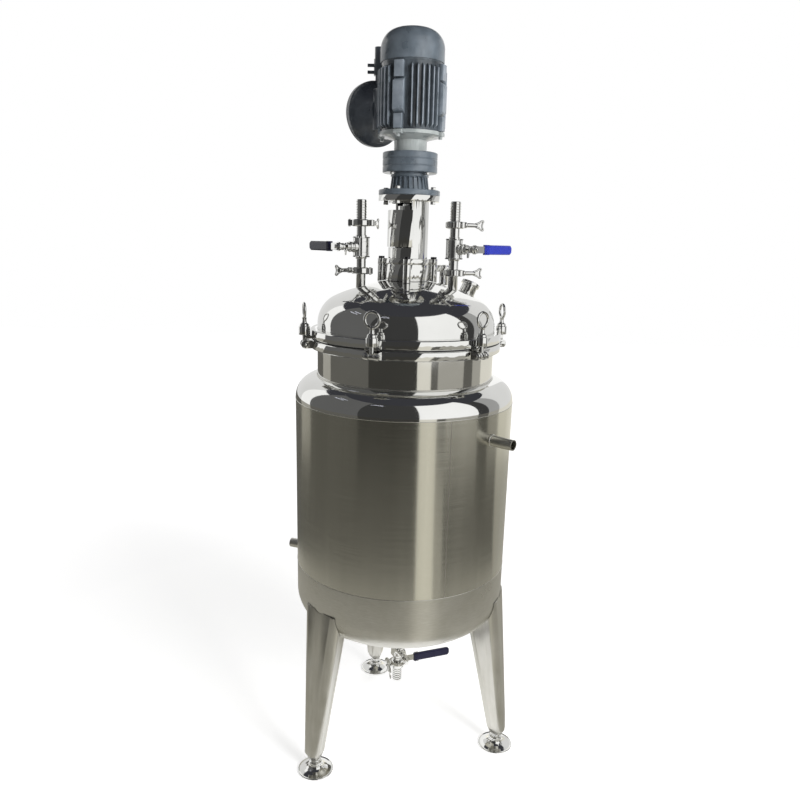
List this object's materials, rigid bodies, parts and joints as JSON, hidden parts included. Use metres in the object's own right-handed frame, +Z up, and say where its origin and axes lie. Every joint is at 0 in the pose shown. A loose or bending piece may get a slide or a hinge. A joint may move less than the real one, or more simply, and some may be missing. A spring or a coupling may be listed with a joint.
{
  "type": "jacketed stainless steel reactor",
  "caption": "Upright jacketed stainless steel stirred reactor on tapered legs, with a geared motor on top, ball valves on the lid and a drain valve below.",
  "frame": {"origin": "on the floor, under the axis of the vessel", "axes": "+Z up along the vessel and shaft axis, -Y towards the viewer of the picture, +X to the viewer's right"},
  "size_m": [0.6684, 0.6228, 1.881],
  "materials": {
    "polished_steel": "mirror polished stainless steel",
    "satin_steel": "brushed and satin stainless steel",
    "motor_paint": "glossy blue-grey enamel",
    "rotor_steel": "machined steel",
    "gasket_rubber": "dark sealing rubber",
    "sight_glass": "clear",
    "fan_plastic": "moulded",
    "blue_vinyl": "dipped vinyl sleeve"
  },
  "bodies": {
    "frame": {"vessel_shell": "polished_steel", "jacket_shell": "satin_steel", "jacket_outlet": "satin_steel", "jacket_inlet": "satin_steel", "vessel_flange": "polished_steel", "flange_gasket": "gasket_rubber", "lid_flange": "polished_steel", "bolt_pins": "polished_steel", "lid_shell": "polished_steel", "lid_hub": "polished_steel", "shaft_seal": "satin_steel", "lantern": "polished_steel", "window_guard": "satin_steel", "hub_bolts": "polished_steel", "reducer_foot": "motor_paint", "gear_casing": "motor_paint", "motor_end_shield": "motor_paint", "motor_housing": "motor_paint", "fan_cover": "motor_paint", "terminal_box": "motor_paint", "terminal_cover": "motor_paint", "cable_gland": "motor_paint", "left_nozzle": "polished_steel", "left_clamps": "polished_steel", "left_valve_body": "polished_steel", "left_hose_tail": "polished_steel", "right_nozzle": "polished_steel", "right_clamps": "polished_steel", "right_valve_body": "polished_steel", "right_hose_tail": "polished_steel", "drain_outlet": "polished_steel", "drain_valve_body": "polished_steel", "drain_clamp": "polished_steel", "drain_hose_tail": "polished_steel", "rear_nozzle": "polished_steel", "sight_port": "polished_steel", "sight_glass": "sight_glass", "leg_right": "satin_steel", "leg_back": "satin_steel", "leg_left": "satin_steel"},
    "agitator": {"agitator_shaft": "polished_steel", "anchor_impeller": "polished_steel", "shaft_coupling": "polished_steel"},
    "rotor": {"motor_rotor": "rotor_steel", "cooling_fan": "fan_plastic"},
    "left_valve_lever": {"left_lever": "polished_steel", "left_grip": "blue_vinyl"},
    "right_valve_lever": {"right_lever": "polished_steel", "right_grip": "blue_vinyl"},
    "drain_valve_lever": {"drain_lever": "polished_steel", "drain_grip": "blue_vinyl"},
    "swing_bolt_1": {"swing_bolt_1": "polished_steel"},
    "swing_bolt_2": {"swing_bolt_2": "polished_steel"},
    "swing_bolt_3": {"swing_bolt_3": "polished_steel"},
    "swing_bolt_4": {"swing_bolt_4": "polished_steel"},
    "swing_bolt_5": {"swing_bolt_5": "polished_steel"},
    "swing_bolt_6": {"swing_bolt_6": "polished_steel"},
    "foot_right": {"foot_right": "polished_steel"},
    "foot_back": {"foot_back": "polished_steel"},
    "foot_left": {"foot_left": "polished_steel"}
  },
  "joints": [
    {"name": "agitator_spin", "type": "hinge", "parent": "frame", "child": "agitator", "pos_m": [0, 0, 0.9], "axis": [0, 0, 1], "continuous": true},
    {"name": "rotor_spin", "type": "hinge", "parent": "frame", "child": "rotor", "pos_m": [0, 0, 1.7], "axis": [0, 0, 1], "continuous": true},
    {"name": "left_valve_turn", "type": "hinge", "parent": "frame", "child": "left_valve_lever", "pos_m": [-0.11483, -0.04408, 1.382], "axis": [0.8192, 0.5736, 0], "range_deg": [0, 90]},
    {"name": "right_valve_turn", "type": "hinge", "parent": "frame", "child": "right_valve_lever", "pos_m": [0.11483, -0.04408, 1.382], "axis": [0.7431, -0.6691, 0], "range_deg": [0, 90]},
    {"name": "drain_valve_turn", "type": "hinge", "parent": "frame", "child": "drain_valve_lever", "pos_m": [0, 0, 0.254], "axis": [-0.3746, 0.9272, 0], "range_deg": [0, 90]},
    {"name": "swing_bolt_1_swing", "type": "hinge", "parent": "frame", "child": "swing_bolt_1", "pos_m": [0.25422, 0.06338, 1.141], "axis": [-0.2419, 0.9703, 0], "range_deg": [0, 150]},
    {"name": "swing_bolt_2_swing", "type": "hinge", "parent": "frame", "child": "swing_bolt_2", "pos_m": [0.07222, 0.25185, 1.141], "axis": [-0.9613, 0.2756, 0], "range_deg": [0, 150]},
    {"name": "swing_bolt_3_swing", "type": "hinge", "parent": "frame", "child": "swing_bolt_3", "pos_m": [-0.182, 0.18847, 1.141], "axis": [-0.7193, -0.6947, 0], "range_deg": [0, 150]},
    {"name": "swing_bolt_4_swing", "type": "hinge", "parent": "frame", "child": "swing_bolt_4", "pos_m": [-0.25422, -0.06338, 1.141], "axis": [0.2419, -0.9703, 0], "range_deg": [0, 150]},
    {"name": "swing_bolt_5_swing", "type": "hinge", "parent": "frame", "child": "swing_bolt_5", "pos_m": [-0.07222, -0.25185, 1.141], "axis": [0.9613, -0.2756, 0], "range_deg": [0, 150]},
    {"name": "swing_bolt_6_swing", "type": "hinge", "parent": "frame", "child": "swing_bolt_6", "pos_m": [0.182, -0.18847, 1.141], "axis": [0.7193, 0.6947, 0], "range_deg": [0, 150]},
    {"name": "foot_right_turn", "type": "hinge", "parent": "frame", "child": "foot_right", "pos_m": [0.28881, -0.07739, 0.03], "axis": [0, 0, 1], "continuous": true},
    {"name": "foot_back_turn", "type": "hinge", "parent": "frame", "child": "foot_back", "pos_m": [-0.07739, 0.28881, 0.03], "axis": [0, 0, 1], "continuous": true},
    {"name": "foot_left_turn", "type": "hinge", "parent": "frame", "child": "foot_left", "pos_m": [-0.21143, -0.21143, 0.03], "axis": [0, 0, 1], "continuous": true}
  ],
  "couplings": [
    {"joint": "rotor_spin", "follows": "agitator_spin", "ratio": -11}
  ]
}
